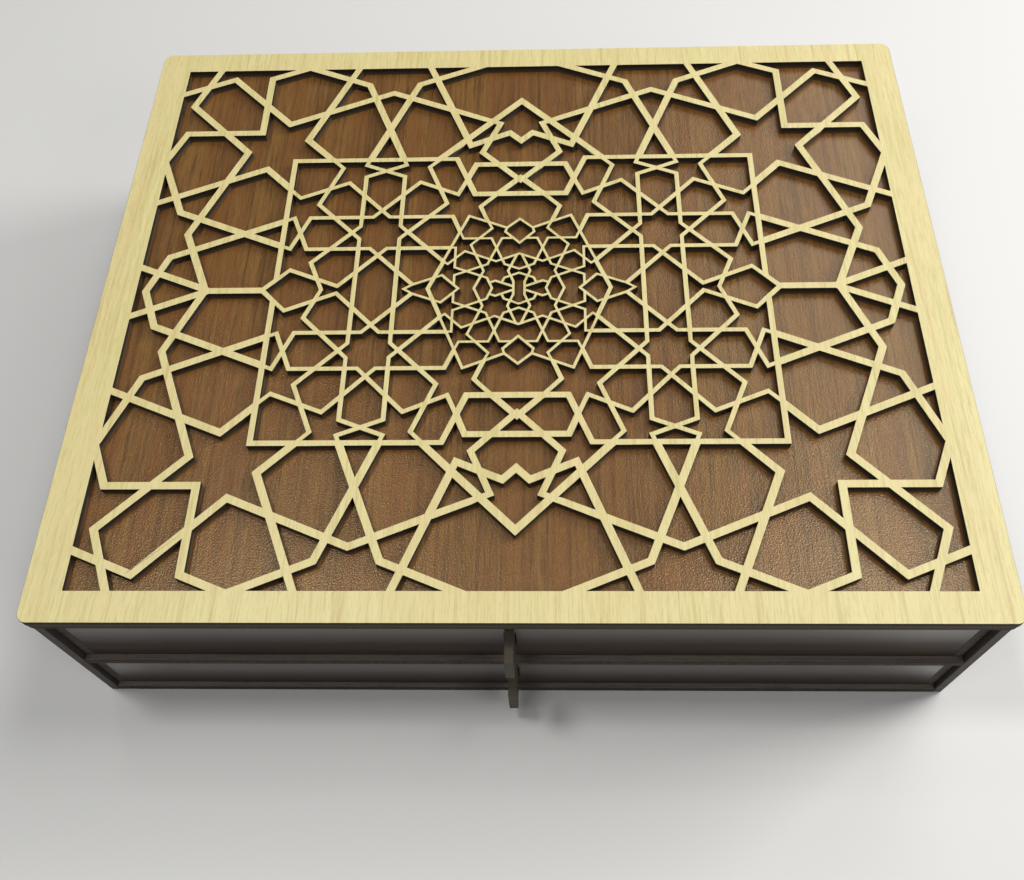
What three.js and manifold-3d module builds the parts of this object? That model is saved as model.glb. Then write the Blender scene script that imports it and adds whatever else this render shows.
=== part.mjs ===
// Prayer bead box in thin board with a star lattice over its lid and two drawers.
// Millimetres, +Z up. The origin is the centre of the underside; the drawers face -Y.
import * as THREE from 'three';
import { mergeVertices } from 'three/addons/utils/BufferGeometryUtils.js';
import Module from 'manifold-3d';

const wasm = await Module();
wasm.setup();

// Sizes of the whole box
const BOARD = 3;                 // thickness of every board
const LID_WIDTH = 300;           // lattice sheet, along X
const LID_DEPTH = 249.5;         // lattice sheet, along Y
const LID_OVERHANG = 1.45;       // lid beyond the carcass on all four sides
const LID_CORNER_RADIUS = 3.5;
const PLATE_INSET = 0.3;         // dark plate set in from the lattice sheet's edge
const LOWER_BAY_HEIGHT = 27;
const UPPER_BAY_HEIGHT = 35;

// Window in the lattice sheet, and half the window that the strands below are drawn for
const BORDER_SIDE = 12.2;
const BORDER_FRONT = 10.2;
const PATTERN_HALF_WIDTH = 137.8;
const PATTERN_HALF_DEPTH = 114.55;

// Drawers and pulls
const UPPER_DRAWER_RECESS = 2.2; // drawer face behind the carcass's front edges
const LOWER_DRAWER_RECESS = 1.8;
const BACK_CLEARANCE = 3;        // upper drawer's back to the back panel
const SIDE_CLEARANCE = 0.5;
const UNDER_CLEARANCE = 0.3;
const TOP_CLEARANCE = 0.7;
const PULL_PROJECTION = 10.8;
const PULL_X = -2;               // both pulls sit a little left of the middle
const PULL_HEIGHT = 17;
const PULL_CORNER_RADIUS = 1.8;
const TENON_HEIGHT = 9;
const TENON_CLEARANCE = 0.3;     // slot around the pull's tenon

// Widths of the lattice strands
const OUTER_STRAND = 2.65;
const CROWN_STRAND = 2.3;
const SQUARE_STRAND = 2.0;
const STAR_STRAND = 1.65;
const HEART_STRAND = 1.1;
const SMALLEST_OPENING = 0.7;    // square millimetres; anything smaller is closed
const SHORTEST_SIDE = 0.2;       // shorter sides of an opening are left out
const STRAIGHT = 0.01;           // sine of the smallest bend kept in an outline
const SAME_HEIGHT = 0.001;

// Places worked out from the sizes above
const CARCASS_HALF_WIDTH = LID_WIDTH / 2 - LID_OVERHANG;
const CARCASS_HALF_DEPTH = LID_DEPTH / 2 - LID_OVERHANG;
const BAY_HALF_WIDTH = CARCASS_HALF_WIDTH - BOARD;
const BAY_DEPTH = 2 * CARCASS_HALF_DEPTH - BOARD;
const SHELF_Z = BOARD + LOWER_BAY_HEIGHT;
const UPPER_BAY_Z = SHELF_Z + BOARD;
const CARCASS_HEIGHT = UPPER_BAY_Z + UPPER_BAY_HEIGHT;
const LATTICE_Z = CARCASS_HEIGHT + BOARD;
const WINDOW_HALF_WIDTH = LID_WIDTH / 2 - BORDER_SIDE;
const WINDOW_HALF_DEPTH = LID_DEPTH / 2 - BORDER_FRONT;
const DRAWER_LENGTH = BAY_DEPTH - UPPER_DRAWER_RECESS - BACK_CLEARANCE;

const LIGHT_WOOD = { color: 0xe0cf97, roughness: 0.55, metalness: 0 };
const WALNUT = { color: 0x6b4c39, roughness: 0.42, metalness: 0 };
const DARK_BOARD = { color: 0x3a302b, roughness: 0.45, metalness: 0 };
const PULL_BOARD = { color: 0x55463a, roughness: 0.5, metalness: 0 };

// One quarter of the lattice, +X and +Y of the centre. Each strand is a centreline; an end
// that lies on an axis runs on into its own mirror image.
const STAR_X = 51.7;             // centre of the eight-pointed star, and a mirror line
const STAR_Y = 26.4;

const flipAboutStar = (points) => points.map(([x, y]) => [2 * STAR_X - x, y]);

const CROWN_CROSSING = [20.2, 52.45];
const SQUARE_TOP = 63.1;
const SQUARE_SIDE = 87.6;
const STAR_COLUMN = [[45, 62.8], [44, 60.3], [59.1, 54.3], [59.1, 29.5], [75.9, 12.4], [70.8, 0]];
const STAR_LOOP = [[72.6, 63.2], [68.4, 59], [75.9, 40.4], [59.1, 23.4], [59.1, 0]];

const OUTER_STRANDS = [
  [[13.5, 116.4], [41.5, 104.8], [58.4, 62.8]],
  [[45, 62.8], [62, 104.8], [87.5, 115.5], [102.6, 109.4], [102.6, 78.6], [132.6, 78.6],
    [138.9, 63.4], [128.3, 37.3], [SQUARE_SIDE, 20.35]],
  [[14.5, 84.5], [51.75, 100], [92, 83.1], [117.8, 109.3], [140, 100.3]],
  [[38.4, 117], [19.5, 70.2], [4.4, 76.8], [0, 72.5]],
  [[0, 94.5], [31.2, 63.3]],
  [[66.2, 117], [83.8, 74.2], [72.8, 63.3]],
  [[123.6, 117], [132.6, 94], [106.8, 67.9], [123.6, STAR_Y], [112.7, 0]],
  [[140, 41.5], [98, 59], [SQUARE_SIDE, 48.5]],
  [[SQUARE_SIDE, 32.45], [128.3, 15.6], [134.3, 0]],
  [[140, 11.85], [111.4, 0]],
  [[90.8, 0], [114, 0]],
];

const CROWN_STRANDS = [
  [[16, 85.1], [8.2, 81.9], [14.9, 66.4], [0, 51.6]],
  [[0, 60], [17.1, 60], CROWN_CROSSING],
  [[0, 44.9], [17.1, 44.9], CROWN_CROSSING],
  [[0, 53.2], [9, 44.5]],
];

const SQUARE_STRANDS = [
  [CROWN_CROSSING, [24.6, SQUARE_TOP], [SQUARE_SIDE, SQUARE_TOP], [SQUARE_SIDE, 5]],
  [[86.5, 5.7], [92.2, 0]],
];

const STAR_STRANDS = [
  STAR_COLUMN,
  flipAboutStar(STAR_COLUMN),
  STAR_LOOP,
  flipAboutStar(STAR_LOOP),
  [[88.5, 49], [83.3, 43.9], [65.3, 51.3], [48.6, 33.9], [25, 33.9], [22, STAR_Y]],
  [CROWN_CROSSING, [23.5, 44.8], [38.1, 51.3], [54.8, 33.9], [78.4, 33.9], [84.4, 19], [SQUARE_SIDE, 20.35]],
  [[SQUARE_SIDE, 32.45], [84.4, 33.9], [78.3, 18.8], [54.8, 18.8], [38.2, 2]],
  [[25.2, 18.8], [48.6, 18.8], [65.2, 1.6], [83.1, 9.1], [87.5, 4.7]],
  [[9, 44.5], [14.8, 38.5], [11.75, 31.1]],
];

const HEART_STRANDS = [
  [[12.1, 31.9], [10.2, 27.9], [17.8, 20], [12.8, 7.8], [16.1, 0]],
  [[4.8, 28.1], [18.9, 34], [27.7, 12.5]],
  [[0, 32.3], [4.8, 28], [5.3, 26.1], [3.3, 24.1]],
  [[4.4, 25.2], [0, 20.8]],
  [[2.4, 23.1], [6.5, 23.1], [11.5, 10.9], [23.3, 6.05], [23.3, 1.6]],
  [[22, STAR_Y], [20.6, 23.1], [10.3, 23.1], [5.3, 10.9], [0, 8.7]],
  [[0, 15.75], [8.4, 12.25], [19.9, 17.1], [25.9, 11.2], [27.4, 12.2]],
  [[26, 18.8], [23.3, 18.8], [23.3, 9.6], [11.5, 4.7], [9.6, 0]],
  [[0.95, 15.2], [4, 7.8], [2, 2.9], [2, 0]],
  [[0, 6.9], [5.3, 4.7], [6.2, 2.5]],
  [[10.6, 2.5], [8.4, 3.4], [2.1, 0.8]],
  [[38.4, 1.9], [27.7, 6.1], [21.6, 0]],
  [[38.3, 1.9], [41.2, 0]],
];

// A solid from any closed geometry
function toManifold(geometry) {
  const bare = geometry.clone();
  bare.deleteAttribute('normal');
  bare.deleteAttribute('uv');
  const welded = mergeVertices(bare, 1e-5);
  const mesh = new wasm.Mesh({
    numProp: 3,
    vertProperties: new Float32Array(welded.attributes.position.array),
    triVerts: new Uint32Array(welded.index.array),
  });
  return new wasm.Manifold(mesh);
}

function toGeometry(manifold) {
  const mesh = manifold.getMesh();
  const indexed = new THREE.BufferGeometry();
  indexed.setAttribute('position', new THREE.BufferAttribute(mesh.vertProperties, 3));
  indexed.setIndex(new THREE.BufferAttribute(mesh.triVerts, 1));
  const flat = indexed.toNonIndexed();
  flat.computeVertexNormals();
  return flat;
}

function named(name, geometry, look) {
  const mesh = new THREE.Mesh(geometry, new THREE.MeshStandardMaterial(look));
  mesh.name = name;
  return mesh;
}

// A board with its lowest corner at x, y, z
function board(name, look, [x, y, z], [width, depth, height]) {
  const mesh = named(name, new THREE.BoxGeometry(width, depth, height), look);
  mesh.position.set(x + width / 2, y + depth / 2, z + height / 2);
  return mesh;
}

function roundedOutline(width, depth, radius) {
  const x = width / 2 - radius;
  const y = depth / 2 - radius;
  const shape = new THREE.Shape();
  shape.absarc(x, y, radius, 0, Math.PI / 2);
  shape.absarc(-x, y, radius, Math.PI / 2, Math.PI);
  shape.absarc(-x, -y, radius, Math.PI, 1.5 * Math.PI);
  shape.absarc(x, -y, radius, 1.5 * Math.PI, 2 * Math.PI);
  return shape;
}

function prism(shape, thickness) {
  return new THREE.ExtrudeGeometry(shape, { depth: thickness, bevelEnabled: false, curveSegments: 8 });
}

// A strand that stops at an axis is joined to its own mirror image there
function joinAcross(points, axis) {
  const image = points.map((point) => point.map((value, i) => (i === axis ? -value : value)));
  const straight = (end, next) => end[1 - axis] === next[1 - axis];
  const last = points.length - 1;
  if (points[0][axis] === 0 && points[1][axis] !== 0) {
    const rest = points.slice(straight(points[0], points[1]) ? 1 : 0);
    return [...image.slice(1).reverse(), ...rest];
  }
  if (points[last][axis] === 0 && points[last - 1][axis] !== 0) {
    const rest = points.slice(0, straight(points[last], points[last - 1]) ? last : last + 1);
    return [...rest, ...image.slice(0, last).reverse()];
  }
  return null;
}

// The strand and its mirror images in all four quarters
function inAllQuarters(points) {
  const flip = (line, x, y) => line.map((point) => [x * point[0], y * point[1]]);
  const overX = joinAcross(points, 0);
  if (overX) return [overX, flip(overX, 1, -1)];
  const overY = joinAcross(points, 1);
  if (overY) return [overY, flip(overY, -1, 1)];
  if (points.every((point) => point[1] === 0)) return [points, flip(points, -1, 1)];
  return [points, flip(points, -1, 1), flip(points, 1, -1), flip(points, -1, -1)];
}

// The outline of a strand of one width, with mitred corners, fitted to the window
function strandShape(points, width) {
  const stretchX = WINDOW_HALF_WIDTH / PATTERN_HALF_WIDTH;
  const stretchY = WINDOW_HALF_DEPTH / PATTERN_HALF_DEPTH;
  const line = points.map(([x, y]) => new THREE.Vector2(x * stretchX, y * stretchY));
  const end = line.length - 1;
  const sideways = (a, b) => new THREE.Vector2(a.y - b.y, b.x - a.x).normalize();
  const left = [];
  const right = [];
  line.forEach((point, i) => {
    const after = i < end ? sideways(point, line[i + 1]) : sideways(line[i - 1], point);
    const before = i > 0 ? sideways(line[i - 1], point) : after;
    const middle = before.clone().add(after).normalize();
    const reach = width / 2 / middle.dot(after);
    left.push(point.clone().addScaledVector(middle, reach));
    right.unshift(point.clone().addScaledVector(middle, -reach));
  });
  return new THREE.Shape([...left, ...right]);
}

function boxSolid(width, depth, height, x, y, z) {
  const geometry = new THREE.BoxGeometry(width, depth, height);
  geometry.translate(x, y, z);
  return toManifold(geometry);
}

// The closed outlines around the top of a flat solid, each a list of points
function outlinesOf(manifold, top) {
  const mesh = manifold.getMesh();
  const corner = (i) => mesh.vertProperties.slice(3 * i, 3 * i + 3);
  const key = (point) => `${point[0].toFixed(3)} ${point[1].toFixed(3)}`;
  const sides = new Map();
  for (let i = 0; i < mesh.triVerts.length; i += 3) {
    const triangle = [0, 1, 2].map((j) => corner(mesh.triVerts[i + j]));
    if (triangle.some((point) => Math.abs(point[2] - top) > SAME_HEIGHT)) continue;
    triangle.forEach((point, j) => {
      const next = triangle[(j + 1) % 3];
      sides.set(`${key(point)}|${key(next)}`, [point, next]);
    });
  }
  const following = new Map();
  for (const [point, next] of sides.values()) {
    if (!sides.has(`${key(next)}|${key(point)}`)) following.set(key(point), next);
  }
  const outlines = [];
  while (following.size > 0) {
    const outline = [];
    let at = following.keys().next().value;
    while (following.has(at)) {
      const next = following.get(at);
      following.delete(at);
      outline.push(new THREE.Vector2(next[0], next[1]));
      at = key(next);
    }
    outlines.push(outline);
  }
  return outlines;
}

// The outline without its very short sides, and without points that lie on a straight run
function tidied(outline) {
  const long = outline.filter((point, i) => (
    point.distanceTo(outline[(i + 1) % outline.length]) > SHORTEST_SIDE
  ));
  return long.filter((point, i) => {
    const before = long[(i + long.length - 1) % long.length];
    const ahead = long[(i + 1) % long.length].clone().sub(point).normalize();
    const turn = point.clone().sub(before).normalize().cross(ahead);
    return Math.abs(turn) > STRAIGHT;
  });
}

// The light sheet: a rounded blank with every opening between the strands cut out of it
function latticeOverlay() {
  const groups = [
    [OUTER_STRANDS, OUTER_STRAND],
    [CROWN_STRANDS, CROWN_STRAND],
    [SQUARE_STRANDS, SQUARE_STRAND],
    [STAR_STRANDS, STAR_STRAND],
    [HEART_STRANDS, HEART_STRAND],
  ];
  const strands = groups.flatMap(([lines, width]) => (
    lines.flatMap(inAllQuarters).map((line) => toManifold(prism(strandShape(line, width), BOARD)))
  ));
  const window = boxSolid(2 * WINDOW_HALF_WIDTH, 2 * WINDOW_HALF_DEPTH, BOARD, 0, 0, BOARD / 2);
  const gaps = window.subtract(wasm.Manifold.union(strands));
  const cutters = outlinesOf(gaps, BOARD)
    .map(tidied)
    .filter((outline) => THREE.ShapeUtils.area(outline) > SMALLEST_OPENING)
    .map((outline) => prism(new THREE.Shape(outline), 3 * BOARD).translate(0, 0, -BOARD));
  const blank = toManifold(prism(roundedOutline(LID_WIDTH, LID_DEPTH, LID_CORNER_RADIUS), BOARD));
  const sheet = blank.subtract(wasm.Manifold.union(cutters.map(toManifold)));
  const mesh = named('lattice_overlay', toGeometry(sheet), LIGHT_WOOD);
  mesh.position.z = LATTICE_Z;
  return mesh;
}

function topPlate() {
  const shape = roundedOutline(
    LID_WIDTH - 2 * PLATE_INSET,
    LID_DEPTH - 2 * PLATE_INSET,
    LID_CORNER_RADIUS - PLATE_INSET,
  );
  const mesh = named('top_plate', prism(shape, BOARD), WALNUT);
  mesh.position.z = CARCASS_HEIGHT;
  return mesh;
}

function carcass() {
  const group = new THREE.Group();
  group.name = 'carcass';
  const front = -CARCASS_HALF_DEPTH;
  const inside = 2 * BAY_HALF_WIDTH;
  const full = 2 * CARCASS_HALF_DEPTH;
  group.add(
    board('side_board_left', DARK_BOARD, [-CARCASS_HALF_WIDTH, front, 0], [BOARD, full, CARCASS_HEIGHT]),
    board('side_board_right', DARK_BOARD, [BAY_HALF_WIDTH, front, 0], [BOARD, full, CARCASS_HEIGHT]),
    board('bottom_plate', DARK_BOARD, [-BAY_HALF_WIDTH, front, 0], [inside, BAY_DEPTH, BOARD]),
    board('mid_shelf', DARK_BOARD, [-BAY_HALF_WIDTH, front, SHELF_Z], [inside, BAY_DEPTH, BOARD]),
    board(
      'back_panel',
      DARK_BOARD,
      [-BAY_HALF_WIDTH, CARCASS_HALF_DEPTH - BOARD, 0],
      [inside, BOARD, CARCASS_HEIGHT],
    ),
    topPlate(),
    latticeOverlay(),
  );
  return group;
}

// A pull plate in its own plane: out from the drawer face along X, up along Y
function pullGeometry() {
  const shape = new THREE.Shape();
  const top = PULL_HEIGHT / 2;
  const bend = PULL_CORNER_RADIUS;
  const tip = PULL_PROJECTION - bend;
  shape.moveTo(0, -top);
  shape.lineTo(tip, -top);
  shape.absarc(tip, -top + bend, bend, -Math.PI / 2, 0);
  shape.absarc(tip, top - bend, bend, 0, Math.PI / 2);
  shape.lineTo(0, top);
  shape.lineTo(0, TENON_HEIGHT / 2);
  shape.lineTo(-BOARD, TENON_HEIGHT / 2);
  shape.lineTo(-BOARD, -TENON_HEIGHT / 2);
  shape.lineTo(0, -TENON_HEIGHT / 2);
  const geometry = prism(shape, BOARD);
  geometry.translate(0, 0, -BOARD / 2);
  const outward = new THREE.Vector3(0, -1, 0);
  const upward = new THREE.Vector3(0, 0, 1);
  const across = new THREE.Vector3(-1, 0, 0);
  geometry.applyMatrix4(new THREE.Matrix4().makeBasis(outward, upward, across));
  return geometry;
}

// The drawer's front board with the slot for the pull's tenon
function frontGeometry(width, height) {
  const slotWidth = BOARD + 2 * TENON_CLEARANCE;
  const slotHeight = TENON_HEIGHT + 2 * TENON_CLEARANCE;
  const panel = boxSolid(width, BOARD, height, 0, BOARD / 2, 0);
  const slot = boxSolid(slotWidth, 3 * BOARD, slotHeight, PULL_X, BOARD / 2, 0);
  return toGeometry(panel.subtract(slot));
}

function drawer(tier, recess, bayZ, bayHeight) {
  const group = new THREE.Group();
  group.name = `${tier}_drawer`;
  const height = bayHeight - UNDER_CLEARANCE - TOP_CLEARANCE;
  const halfWidth = BAY_HALF_WIDTH - SIDE_CLEARANCE;
  const inner = halfWidth - BOARD;
  const back = DRAWER_LENGTH - BOARD;
  group.position.set(0, -CARCASS_HALF_DEPTH + recess, bayZ + UNDER_CLEARANCE);
  const front = named(`${tier}_drawer_front`, frontGeometry(2 * inner, height), DARK_BOARD);
  front.position.z = height / 2;
  const pull = named(`${tier}_drawer_pull`, pullGeometry(), PULL_BOARD);
  pull.position.set(PULL_X, 0, height / 2);
  group.add(
    front,
    pull,
    board(`${tier}_drawer_side_left`, DARK_BOARD, [-halfWidth, 0, 0], [BOARD, DRAWER_LENGTH, height]),
    board(`${tier}_drawer_side_right`, DARK_BOARD, [inner, 0, 0], [BOARD, DRAWER_LENGTH, height]),
    board(`${tier}_drawer_back`, DARK_BOARD, [-inner, back, 0], [2 * inner, BOARD, height]),
    board(`${tier}_drawer_bottom`, DARK_BOARD, [-inner, BOARD, 0], [2 * inner, back - BOARD, BOARD]),
  );
  return group;
}

const box = new THREE.Group();
box.name = 'prayer_bead_box';
box.add(
  carcass(),
  drawer('upper', UPPER_DRAWER_RECESS, UPPER_BAY_Z, UPPER_BAY_HEIGHT),
  drawer('lower', LOWER_DRAWER_RECESS, BOARD, LOWER_BAY_HEIGHT),
);

export default box;
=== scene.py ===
# %% [markdown]
# A shallow wooden box for prayer beads stands on a pale floor. It is glued up from thin
# laser-cut board: a light sheet pierced with a star lattice lies on a brown lid plate, and
# two drawers slide out of the dark body below it. The solids and their sizes come from the
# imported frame. This script gives each board its edges and its finish, and sets the floor,
# the light and the camera.

import math

import bpy
from mathutils import Matrix, Vector


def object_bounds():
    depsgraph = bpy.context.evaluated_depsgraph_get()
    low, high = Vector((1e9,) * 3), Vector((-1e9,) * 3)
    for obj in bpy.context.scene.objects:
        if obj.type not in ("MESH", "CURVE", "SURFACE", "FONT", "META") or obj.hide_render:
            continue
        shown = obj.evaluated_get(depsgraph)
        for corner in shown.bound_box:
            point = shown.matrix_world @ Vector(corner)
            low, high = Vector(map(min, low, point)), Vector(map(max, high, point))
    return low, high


MM_PER_METRE = 1000.0

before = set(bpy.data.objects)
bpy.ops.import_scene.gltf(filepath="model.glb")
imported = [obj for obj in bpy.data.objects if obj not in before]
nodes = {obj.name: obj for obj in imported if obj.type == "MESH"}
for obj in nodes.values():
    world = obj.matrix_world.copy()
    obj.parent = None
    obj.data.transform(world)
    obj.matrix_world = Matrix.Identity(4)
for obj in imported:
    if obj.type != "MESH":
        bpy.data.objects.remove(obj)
cad_low, cad_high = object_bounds()
print("boards:", len(nodes))
print("box size in mm:", [round(MM_PER_METRE * v, 1) for v in cad_high - cad_low])

# %% [markdown]
# The camera is placed before anything else, because every later choice is judged through
# it. Its place and direction were worked out from the four corners of the lid, whose sizes
# are known, so straight lines of the box fall on the same lines of the photograph. The
# camera could also be turned by eye, but a fitted one shows at once which sizes are wrong.

# %% Camera
CAMERA_PLACE = (0.01171, -0.22831, 0.36317)
CAMERA_RIGHT = Vector((0.99944, 0.01274, -0.03098))
CAMERA_UP = Vector((0.00430, 0.86843, 0.49578))
SENSOR_MM = 36.0
LENS_MM = 36.07
SHIFT_X = -0.0063
SHIFT_Y = 0.0022

camera_data = bpy.data.cameras.new("camera")
camera_data.sensor_width = SENSOR_MM
camera_data.lens = LENS_MM
camera_data.shift_x = SHIFT_X
camera_data.shift_y = SHIFT_Y
camera = bpy.data.objects.new("camera", camera_data)
bpy.context.scene.collection.objects.link(camera)
camera_back = CAMERA_RIGHT.cross(CAMERA_UP)
turn = Matrix((CAMERA_RIGHT, CAMERA_UP, camera_back)).transposed()
camera.matrix_world = Matrix.Translation(CAMERA_PLACE) @ turn.to_4x4()
bpy.context.scene.camera = camera
from_upright = math.degrees(camera_back.angle(Vector((0.0, 0.0, 1.0))))
print("camera looks down by", round(90 - from_upright, 1), "degrees")

# %% [markdown]
# Shader maths reads best as plain expressions, so one small class wraps the output of a
# node, and its operators add the Math nodes. The same nodes could be added one by one, but
# then a single sum takes several lines, and nobody sees at a glance what it adds up.

# %% The output of a node
def socket_of(sockets, key):
    """The socket with this number, identifier or name; a Mix node has several of one name."""
    for socket in sockets:
        if socket.identifier == key:
            return socket
    return sockets[key]


class Value:
    """The output of a shader node, which Python's operators can work on."""

    def __init__(self, finish, socket):
        self.finish = finish
        self.socket = socket

    def math(self, operation, *others):
        inputs = dict(enumerate((self, *others)))
        return self.finish.node("ShaderNodeMath", {"operation": operation}, inputs)

    def __add__(self, other):
        return self.math("ADD", other)

    def __mul__(self, other):
        return self.math("MULTIPLY", other)

    def __rsub__(self, other):
        return (self * -1.0) + other

    def __abs__(self):
        return self.math("ABSOLUTE")

    __radd__ = __add__
    __rmul__ = __mul__

    def smooth(self, low, high):
        """0 at low and 1 at high, with soft ends."""
        settings = {"interpolation_type": "SMOOTHSTEP"}
        inputs = {"Value": self, "From Min": low, "From Max": high}
        return self.finish.node("ShaderNodeMapRange", settings, inputs)


# %% [markdown]
# A Finish keeps the node tree that those outputs belong to. One method adds any node with
# its settings and its sockets, and the few nodes that wood needs over and over, such as a
# mix of two colours or a stretched noise, get a method of their own.

# %% A tree of nodes
class Finish:
    """A node tree, with one method that adds nodes to it."""

    def __init__(self, owner):
        owner.use_nodes = True
        self.owner = owner
        self.tree = owner.node_tree
        self.tree.nodes.clear()

    def node(self, kind, settings=None, inputs=None, output=0):
        """Adds one node: its settings first, then its sockets' values or links."""
        made = self.tree.nodes.new(kind)
        for key, value in (settings or {}).items():
            setattr(made, key, value)
        for key, value in (inputs or {}).items():
            socket = socket_of(made.inputs, key)
            if isinstance(value, Value):
                self.tree.links.new(value.socket, socket)
            else:
                socket.default_value = value
        return Value(self, socket_of(made.outputs, output)) if made.outputs else None

    def mix(self, colour_a, colour_b, factor):
        """A colour between two colours."""
        settings = {"data_type": "RGBA", "clamp_factor": True}
        inputs = {"Factor_Float": factor, "A_Color": colour_a, "B_Color": colour_b}
        return self.node("ShaderNodeMix", settings, inputs, "Result_Color")

    def stretched(self, place, per_mm):
        """Coordinates that count this many steps in each millimetre along X, Y and Z."""
        scale = tuple(MM_PER_METRE * steps for steps in per_mm)
        return self.node("ShaderNodeMapping", None, {"Vector": place, "Scale": scale})

    def noise(self, place, per_mm, detail=2.0, roughness=0.5):
        """Noise between 0 and 1 whose grains have the given density along X, Y and Z."""
        inputs = {
            "Vector": self.stretched(place, per_mm),
            "Scale": 1.0,
            "Detail": detail,
            "Roughness": roughness,
        }
        return self.node("ShaderNodeTexNoise", None, inputs)

    def surface(self, **sockets):
        """Closes a material with one Principled shader and returns it."""
        names = {name.replace("_", " "): value for name, value in sockets.items()}
        shader = self.node("ShaderNodeBsdfPrincipled", None, names)
        self.node("ShaderNodeOutputMaterial", {"target": "ALL"}, {"Surface": shader})
        return self.owner


# %% [markdown]
# Colours are judged on a screen, where they run from 0 to 255, but a shader counts light
# itself. Every colour below is written as the screen shows it and turned into light here.

# %% Screen colours
def linear(red, green, blue):
    """The linear colour of a screen colour counted from 0 to 255."""
    def convert(part):
        part = part / 255.0
        return part / 12.92 if part <= 0.04045 else ((part + 0.055) / 1.055) ** 2.4
    return (convert(red), convert(green), convert(blue), 1.0)


# %% [markdown]
# Wood grain is long and thin in one direction, so it is drawn as noise that is stretched
# along the grain. A Wave texture is the usual shortcut, but its lines come back at even
# steps, which real boards never show. Here broad bands and patches shift the colour, and
# streaks, fibres and short flecks draw the dark lines on it, each at its own width.

# %% Grain of a broad face
X, Y, Z = 0, 1, 2

# Each layer has its steps per millimetre across and along the grain, then its noise's
# detail and roughness.
BANDS = (0.16, 0.004, 2.0, 0.5)
STREAKS = (0.75, 0.018, 3.0, 0.6)
FIBRES = (2.2, 0.11, 2.0, 0.6)
FLECKS = (2.4, 0.4, 2.0, 0.6)
PATCHES = (0.22, 0.009, 2.0, 0.5)


def along_grain(grain_axis, across, along):
    """Steps per millimetre that draw noise out along one axis."""
    steps = [across, across, across]
    steps[grain_axis] = along
    return tuple(steps)


def grain(finish, place, grain_axis, colours, lines):
    """The colour of a broad face, and the fibres that its bump reuses."""
    def layer(across, along, detail, roughness):
        return finish.noise(place, along_grain(grain_axis, across, along), detail, roughness)

    bands = layer(*BANDS)
    streaks = layer(*STREAKS)
    fibres = layer(*FIBRES)
    flecks = layer(*FLECKS)
    patches = layer(*PATCHES)
    tone = (bands * 0.3 + streaks * 0.45 + fibres * 0.25).smooth(0.40, 0.60)
    colour = finish.mix(colours["pale"], colours["deep"], tone)
    colour = finish.mix(colour, colours["warm"], patches.smooth(0.40, 0.62) * 0.7)
    wide_marks = streaks.smooth(0.54, 0.70)
    fine_marks = fibres.smooth(0.50, 0.68) * 0.8 + flecks.smooth(0.52, 0.70) * 0.6
    marks = (wide_marks + fine_marks) * lines
    return finish.mix(colour, colours["streak"], marks), fibres


# %% [markdown]
# Every board here is the same kind of thing: two broad faces with grain, and cut edges that
# the laser left dark and dull. One recipe serves them all. It is told which way the board's
# faces look and which way its grain runs, and it tells face from cut edge by the surface's
# own direction. Two materials on separate faces would also work, but then each board would
# need its faces sorted by hand, and the eased corners would show a hard seam.

# %% Whole finish of a board
FACE_TURN = (0.75, 0.95)       # from cut edge to broad face, by how squarely a spot faces
SCORCH_STEPS = (1.6, 0.15)     # scorch marks per millimetre along and through a cut edge
PEBBLE_STEPS = (1.5, 1.8)      # pebbles per millimetre across and along the grain
CUT_ROUGH = 0.85
ROUGH_SPREAD = 0.08            # how far the fibres vary the roughness of a face
SKIN_DEPTH = 0.0001            # metres between the bump's lowest and highest point
COAT_ROUGH = 0.3
WHITE = (1.0, 1.0, 1.0, 1.0)


def wood(name, face_axis, grain_axis, colours, rough, bump, gloss,
         lines=0.3, pebble=0.0, bounce_lit_foot=None, polish=None):
    """A board's finish: grain on its broad faces, and dull scorched cut edges.

    Below the foot heights the cut edges turn a lighter brown, which is painted bounce light from
    the surface under them, and above those in polish the broad faces carry a coat of varnish.
    Both are in metres above the floor.
    """
    finish = Finish(bpy.data.materials.new(name))
    place = finish.node("ShaderNodeTexCoord", None, None, "Object")
    normal = finish.node("ShaderNodeTexCoord", None, None, "Normal")
    facing = finish.node("ShaderNodeSeparateXYZ", None, {"Vector": normal}, face_axis)
    face = abs(facing).smooth(*FACE_TURN)
    level = finish.node("ShaderNodeSeparateXYZ", None, {"Vector": place}, Z)

    body, fibres = grain(finish, place, grain_axis, colours, lines)
    height = fibres * 0.5
    if pebble:
        per_mm = along_grain(grain_axis, *PEBBLE_STEPS)
        cells = {"Vector": finish.stretched(place, per_mm), "Scale": 1.0}
        pits = finish.node("ShaderNodeTexVoronoi", {"feature": "F1"}, cells)
        height = height + pebble * pits
        body = finish.mix(body, colours["streak"], pits.smooth(0.30, 0.75) * 0.15)

    scorch = finish.noise(place, along_grain(face_axis, *SCORCH_STEPS), 3.0, 0.6)
    edge = finish.mix(colours["cut"], colours["cut_light"], scorch.smooth(0.35, 0.7))
    # Painted bounce light: the cut edges are lighter and browner near their lower end.
    if bounce_lit_foot:
        edge = finish.mix(colours["bounce_lit_foot"], edge, level.smooth(*bounce_lit_foot))

    face_rough = fibres * ROUGH_SPREAD + (rough - ROUGH_SPREAD / 2)
    skin = {"Height": height, "Strength": bump, "Distance": SKIN_DEPTH}
    return finish.surface(
        Base_Color=finish.mix(edge, body, face),
        Roughness=face_rough + (1.0 - face) * (CUT_ROUGH - rough),
        Normal=finish.node("ShaderNodeBump", None, skin),
        Specular_IOR_Level=gloss,
        Specular_Tint=colours.get("sheen", WHITE),
        Coat_Weight=level.smooth(*polish) * face if polish else 0.0,
        Coat_Roughness=COAT_ROUGH,
    )
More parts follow.
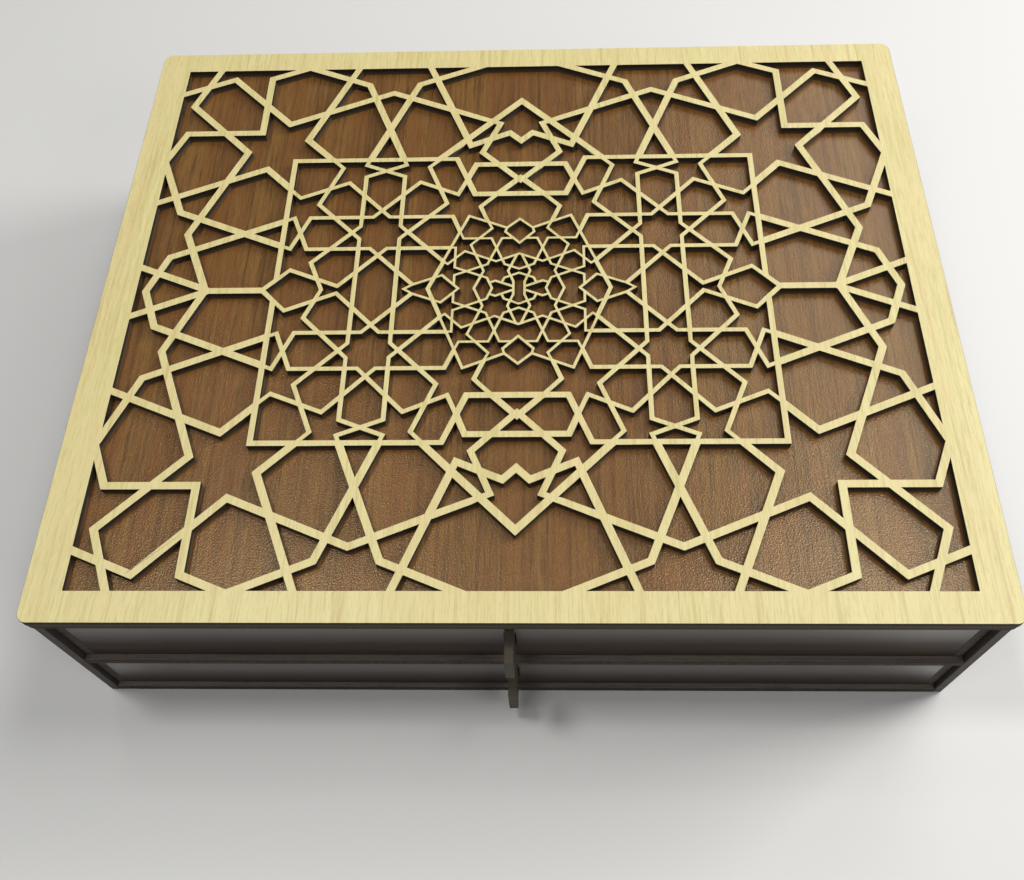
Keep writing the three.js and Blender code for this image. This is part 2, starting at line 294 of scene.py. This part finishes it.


# %% [markdown]
# The lid has the two finishes that the box is known by. The lattice sheet is a pale, finely
# lined wood, almost matt, whose cut edges are scorched almost black. Where they meet the plate
# they are painted a lighter brown, which is painted bounce light from the plate. The plate
# itself is a warm brown with a lightly pebbled skin, which only shows where the light glances
# off it. The pebbles could be modelled, but they are finer than the mesh of a thin board can
# carry, so a cell texture bends the light instead.

# %% Finishes of the lid
LIGHT_WOOD = {
    "pale": linear(218, 206, 148),
    "deep": linear(207, 194, 133),
    "warm": linear(216, 199, 143),
    "streak": linear(191, 172, 112),
    "cut": linear(22, 16, 6),
    "cut_light": linear(42, 33, 16),
    # painted bounce light from the plate on the lower part of the lattice's cut edges
    "bounce_lit_foot": linear(86, 70, 50),
}
# heights in metres where the lattice's cut edges pass from painted bounce light to their own
# near-black
LATTICE_BOUNCE_LIT_FOOT = (0.0711, 0.0731)
WALNUT = {
    "pale": linear(127, 91, 46),
    "deep": linear(99, 67, 34),
    "warm": linear(118, 76, 38),
    "streak": linear(72, 47, 27),
    "cut": linear(40, 36, 24),
    "cut_light": linear(58, 53, 38),
    "sheen": linear(255, 243, 212),
}
light_wood = wood("light_wood", Z, Y, LIGHT_WOOD, 0.45, 0.12, 0.5, lines=0.5, bounce_lit_foot=LATTICE_BOUNCE_LIT_FOOT)
walnut = wood("walnut", Z, Y, WALNUT, 0.27, 0.6, 0.62, lines=0.35, pebble=1.0)
print("lid finishes:", light_wood.name, walnut.name)

# %% [markdown]
# The body is made of dark boards, so the recipe is run once for each way that they face,
# and the grain of the upright ones runs along their length. The drawer fronts mirror the
# pale floor in their upper half and are plain and dark below. A gloss on the whole front
# would brighten it all over, so only a coat that begins at mid height carries the shine.
# The level boards and the two outer sides have lighter faces, and the pulls browner cut
# edges. The level boards' lighter tone is painted light, from the room light that reaches
# their ledges under the lid. The outer sides' lighter, greyer tone, on their cut edges most of
# all, is painted light too, from the light that their front edges catch at the box's ends.

# %% Finishes of the dark body
DARK_BOARD = {
    "pale": linear(66, 55, 47),
    "deep": linear(55, 46, 39),
    "warm": linear(64, 50, 42),
    "streak": linear(42, 34, 29),
    "cut": linear(48, 43, 37),
    "cut_light": linear(68, 61, 53),
    "sheen": linear(255, 246, 234),
}
# Painted light: a lighter copy of the dark board for the level boards, standing in for the room
# light that reaches their ledges under the lid.
LIT_SHELF_BOARD = {
    **DARK_BOARD,
    "pale": linear(120, 111, 102),
    "deep": linear(106, 98, 91),
    "warm": linear(112, 102, 94),
}
# Painted light: a lighter, greyer copy of the dark board for the outer sides; their pale cut
# edges stand in for the light that the box's front edges catch.
LIT_SIDE_BOARD = {
    **DARK_BOARD,
    "pale": linear(69, 62, 60),
    "deep": linear(60, 54, 52),
    "warm": linear(66, 58, 55),
    "streak": linear(50, 45, 43),
    "cut": linear(68, 64, 64),
    "cut_light": linear(84, 79, 79),
}
PULL_BOARD = {
    **DARK_BOARD,
    "pale": linear(70, 60, 50),
    "deep": linear(58, 49, 41),
    "cut": linear(66, 59, 50),
    "cut_light": linear(82, 74, 63),
}
DARK_SKIN = {"rough": 0.38, "bump": 0.15, "gloss": 0.7}
FRONT_SKIN = {"rough": 0.4, "bump": 0.15}
UPPER_POLISH = (0.042, 0.060)
LOWER_POLISH = (0.008, 0.021)

dark_flat = wood("dark_flat", Z, X, LIT_SHELF_BOARD, 0.5, 0.2, 0.4)
dark_front = wood("dark_front", Y, X, DARK_BOARD, **DARK_SKIN)
upper_front = wood("upper_front", Y, X, DARK_BOARD, **FRONT_SKIN, gloss=0.05, polish=UPPER_POLISH)
lower_front = wood("lower_front", Y, X, DARK_BOARD, **FRONT_SKIN, gloss=0.2, polish=LOWER_POLISH)
dark_side = wood("dark_side", X, Y, DARK_BOARD, **DARK_SKIN)
outer_side = wood("outer_side", X, Y, LIT_SIDE_BOARD, **DARK_SKIN, lines=0.15)
pull_wood = wood("pull_wood", X, Y, PULL_BOARD, **DARK_SKIN)

# %% [markdown]
# Each board gets its finish by its name. The two drawers differ only in their fronts, so one
# loop serves both, and a list by name shows at a glance which board has which finish.

# %% A finish for each board
FINISHES = {
    "lattice_overlay": light_wood,
    "top_plate": walnut,
    "bottom_plate": dark_flat,
    "mid_shelf": dark_flat,
    "back_panel": dark_front,
    "side_board_left": outer_side,
    "side_board_right": outer_side,
}
for tier, front in (("upper", upper_front), ("lower", lower_front)):
    FINISHES[f"{tier}_drawer_front"] = front
    FINISHES[f"{tier}_drawer_back"] = dark_front
    FINISHES[f"{tier}_drawer_side_left"] = dark_side
    FINISHES[f"{tier}_drawer_side_right"] = dark_side
    FINISHES[f"{tier}_drawer_bottom"] = dark_flat
    FINISHES[f"{tier}_drawer_pull"] = pull_wood
for name, finish in FINISHES.items():
    nodes[name].data.materials.clear()
    nodes[name].data.materials.append(finish)
print("boards finished:", len(FINISHES))

# %% [markdown]
# A laser leaves an edge that is crisp but not perfectly sharp. A small bevel on every board
# catches a thin line of light along its arrises, and the fine lattice gets a smaller one.
# The triangles of each solid are welded first, because a bevel needs edges that join two
# faces. The bevel could keep itself from overlapping, but one narrow corner of the lattice
# would then shrink it everywhere, so that limit is off.

# %% Eased arrises
USUAL_ARRIS = 0.0002
LATTICE_ARRIS = 0.00012
WELD_REACH = 0.000005
SHARP = 0.6              # radians between two faces that meet in an arris


def ease(board, width):
    """Welds a board's triangles and bevels its sharp edges."""
    weld = board.modifiers.new("weld", "WELD")
    weld.merge_threshold = WELD_REACH
    bevel = board.modifiers.new("arris", "BEVEL")
    bevel.width = width
    bevel.segments = 1
    bevel.use_clamp_overlap = False
    bevel.limit_method = "ANGLE"
    bevel.angle_limit = SHARP


for name, board in nodes.items():
    ease(board, LATTICE_ARRIS if name == "lattice_overlay" else USUAL_ARRIS)
print("boards eased:", len(nodes))

# %% [markdown]
# The floor is a plain pale sheet under the box, and it is not part of the object. It could
# reach to the horizon, but far from the lamps it would only turn black, so it ends where
# the light does and the pale backdrop takes over.

# %% Floor
FLOOR_SIZE = 2.4

bpy.ops.object.select_all(action="DESELECT")
bpy.ops.mesh.primitive_plane_add(size=FLOOR_SIZE, location=(0.0, 0.0, cad_low.z))
floor = bpy.context.object
floor.name = "floor"
paint = Finish(bpy.data.materials.new("pale_floor"))
floor.data.materials.append(
    paint.surface(Base_Color=linear(218, 217, 214), Roughness=0.6, Specular_IOR_Level=0.3)
)
print("floor width in metres:", FLOOR_SIZE)

# %% [markdown]
# The light is soft and comes from above. Two ceiling lamps hang over the box's left and
# right. A low window on the right and a far one behind it brighten that side and put the
# sheen on the brown plate. Two weak lamps in front lift the drawers out of the shadow. Two
# small ones stand where the plate's front corners mirror them, so its pebbled skin glints
# there. A single large lamp would be simpler, but it would leave the lid evenly lit and flat.

# %% Lamps
def lamp(name, place, size, power):
    """A square area lamp that looks at the middle of the box."""
    data = bpy.data.lights.new(name, "AREA")
    data.shape = "SQUARE"
    data.size = size
    data.energy = power
    made = bpy.data.objects.new(name, data)
    bpy.context.scene.collection.objects.link(made)
    facing = (-Vector(place)).to_track_quat("-Z", "Y").to_matrix().to_4x4()
    made.matrix_world = Matrix.Translation(place) @ facing


lamp("ceiling_left", (-0.43, 0.0, 1.4), 0.2, 5.6)
lamp("glint_left", (-0.38, 0.47, 1.4), 0.15, 0.8)
lamp("ceiling_right", (0.5, 0.17, 1.4), 0.3, 3.9)
lamp("glint_right", (0.66, 0.46, 1.4), 0.18, 1.2)
lamp("low_window", (1.1, 0.35, 0.65), 0.5, 10.4)
lamp("far_window", (0.65, 1.03, 1.2), 0.8, 5.3)
lamp("front_right", (0.8, -0.7, 0.8), 0.5, 3.0)
lamp("front_left", (-0.5, -0.5, 1.3), 0.5, 2.8)
print("lamps:", len(bpy.data.lights))

# %% [markdown]
# The room around the box is pale to the eye, but it hardly lights it, or the shadows in the
# lattice would wash out. A Light Path node tells the rays apart: those that come straight
# from the camera see the full backdrop, and those that a shiny board mirrors see a dim one.

# %% Backdrop
ROOM_GLOW = 0.02
MIRROR_GLOW = 0.22
BACKDROP_GLOW = 0.7

room = Finish(bpy.data.worlds.new("room"))
seen = room.node("ShaderNodeLightPath", None, None, "Is Camera Ray")
seen_through = room.node("ShaderNodeLightPath", None, None, "Is Transmission Ray")
mirrored = room.node("ShaderNodeLightPath", None, None, "Is Glossy Ray")
backdrop = (seen + seen_through) * (BACKDROP_GLOW - ROOM_GLOW)
strength = backdrop + mirrored * (MIRROR_GLOW - ROOM_GLOW) + ROOM_GLOW
air = {"Color": linear(236, 238, 242), "Strength": strength}
glow = room.node("ShaderNodeBackground", None, air)
room.node("ShaderNodeOutputWorld", None, {"Surface": glow})
bpy.context.scene.world = room.owner
bpy.context.scene.view_settings.view_transform = "Standard"
print("backdrop glow:", BACKDROP_GLOW, "mirrored:", MIRROR_GLOW, "lighting the box:", ROOM_GLOW)
